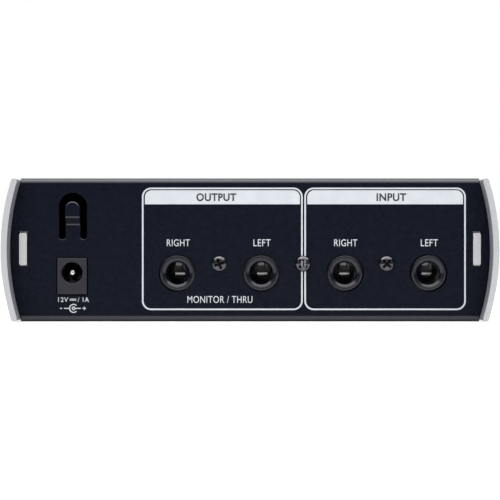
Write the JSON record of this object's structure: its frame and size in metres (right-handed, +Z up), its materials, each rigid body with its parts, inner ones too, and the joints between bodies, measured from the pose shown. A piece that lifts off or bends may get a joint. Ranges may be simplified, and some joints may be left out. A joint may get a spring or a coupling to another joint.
{
  "type": "headphone distribution amplifier",
  "caption": "Shallow black steel stereo audio box with bowed silver cheeks, a row of phone jacks, a DC inlet and cord hook behind, and level knobs, buttons and jacks in front.",
  "frame": {"origin": "middle of the base, under the centre of the whole box's outline, on the surface it stands on", "axes": "+Z up; the connector panel faces -Y and the control panel faces +Y; +X is to the right of someone facing the connector panel"},
  "size_m": [0.1492, 0.14, 0.0435],
  "materials": {
    "black_steel": "fine matt black powder coat",
    "silver_cheek": "fine bead-blasted silver",
    "plated_steel": "zinc plated, dull",
    "bare_aluminium": "turned, satin",
    "black_screw": "black oxide, slightly oily",
    "jack_plastic": "moulded black nylon",
    "inlet_plastic": "moulded dark grey",
    "contact_metal": "nickel plated",
    "knob_plastic": "moulded black, satin",
    "button_plastic": "moulded grey, satin",
    "circuit_board": "green solder mask",
    "component_plastic": "moulded black",
    "lamp_lens": "clear tinted",
    "legend_print": "screen-printed white ink"
  },
  "bodies": {
    "case": {"case_wrap": "black_steel", "front_panel": "black_steel", "left_cheek": "silver_cheek", "right_cheek": "silver_cheek", "main_board": "circuit_board", "control_board": "circuit_board", "board_header": "component_plastic", "jack_bracket": "plated_steel", "filter_capacitor": "component_plastic", "regulator_heatsink": "bare_aluminium", "amplifier_chip": "component_plastic", "dc_inlet": "inlet_plastic", "dc_inlet_pin": "contact_metal", "dc_inlet_spring": "contact_metal", "power_led": "lamp_lens", "mute_led": "lamp_lens", "board_spacer_1": "contact_metal", "board_spacer_2": "contact_metal", "panel_screw_1": "black_screw", "panel_screw_2": "black_screw", "panel_screw_3": "black_screw", "base_screw_1": "black_screw", "base_screw_2": "black_screw", "base_screw_3": "black_screw", "base_screw_4": "black_screw", "output_right_jack": "jack_plastic", "output_right_spring": "contact_metal", "output_left_jack": "jack_plastic", "output_left_spring": "contact_metal", "input_right_jack": "jack_plastic", "input_right_spring": "contact_metal", "input_left_jack": "jack_plastic", "input_left_spring": "contact_metal", "headphone_1_jack": "jack_plastic", "headphone_1_spring": "contact_metal", "headphone_2_jack": "jack_plastic", "headphone_2_spring": "contact_metal", "headphone_3_jack": "jack_plastic", "headphone_3_spring": "contact_metal", "headphone_4_jack": "jack_plastic", "headphone_4_spring": "contact_metal", "main_level_pot": "plated_steel", "headphone_1_pot": "plated_steel", "headphone_2_pot": "plated_steel", "headphone_3_pot": "plated_steel", "headphone_4_pot": "plated_steel", "mono_switch": "plated_steel", "mute_switch": "plated_steel"},
    "main_level_control": {"main_level_shaft": "bare_aluminium", "main_level_knob": "knob_plastic"},
    "headphone_1_control": {"headphone_1_shaft": "bare_aluminium", "headphone_1_knob": "knob_plastic"},
    "headphone_2_control": {"headphone_2_shaft": "bare_aluminium", "headphone_2_knob": "knob_plastic"},
    "headphone_3_control": {"headphone_3_shaft": "bare_aluminium", "headphone_3_knob": "knob_plastic"},
    "headphone_4_control": {"headphone_4_shaft": "bare_aluminium", "headphone_4_knob": "knob_plastic"},
    "mono_push": {"mono_button": "button_plastic"},
    "mute_push": {"mute_button": "button_plastic"}
  },
  "joints": [
    {"name": "main_level_turn", "type": "hinge", "parent": "case", "child": "main_level_control", "pos_m": [0.05, 0.056, 0.0302], "axis": [0, -1, 0], "range_deg": [-150, 150]},
    {"name": "headphone_1_turn", "type": "hinge", "parent": "case", "child": "headphone_1_control", "pos_m": [0.014, 0.056, 0.0306], "axis": [0, -1, 0], "range_deg": [-150, 150]},
    {"name": "headphone_2_turn", "type": "hinge", "parent": "case", "child": "headphone_2_control", "pos_m": [-0.008, 0.056, 0.0306], "axis": [0, -1, 0], "range_deg": [-150, 150]},
    {"name": "headphone_3_turn", "type": "hinge", "parent": "case", "child": "headphone_3_control", "pos_m": [-0.03, 0.056, 0.0306], "axis": [0, -1, 0], "range_deg": [-150, 150]},
    {"name": "headphone_4_turn", "type": "hinge", "parent": "case", "child": "headphone_4_control", "pos_m": [-0.052, 0.056, 0.0306], "axis": [0, -1, 0], "range_deg": [-150, 150]},
    {"name": "mono_press", "type": "slide", "parent": "case", "child": "mono_push", "axis": [0, -1, 0], "range_m": [0, 0.002], "stiffness_N_per_m": 400},
    {"name": "mute_press", "type": "slide", "parent": "case", "child": "mute_push", "axis": [0, -1, 0], "range_m": [0, 0.002], "stiffness_N_per_m": 400}
  ]
}
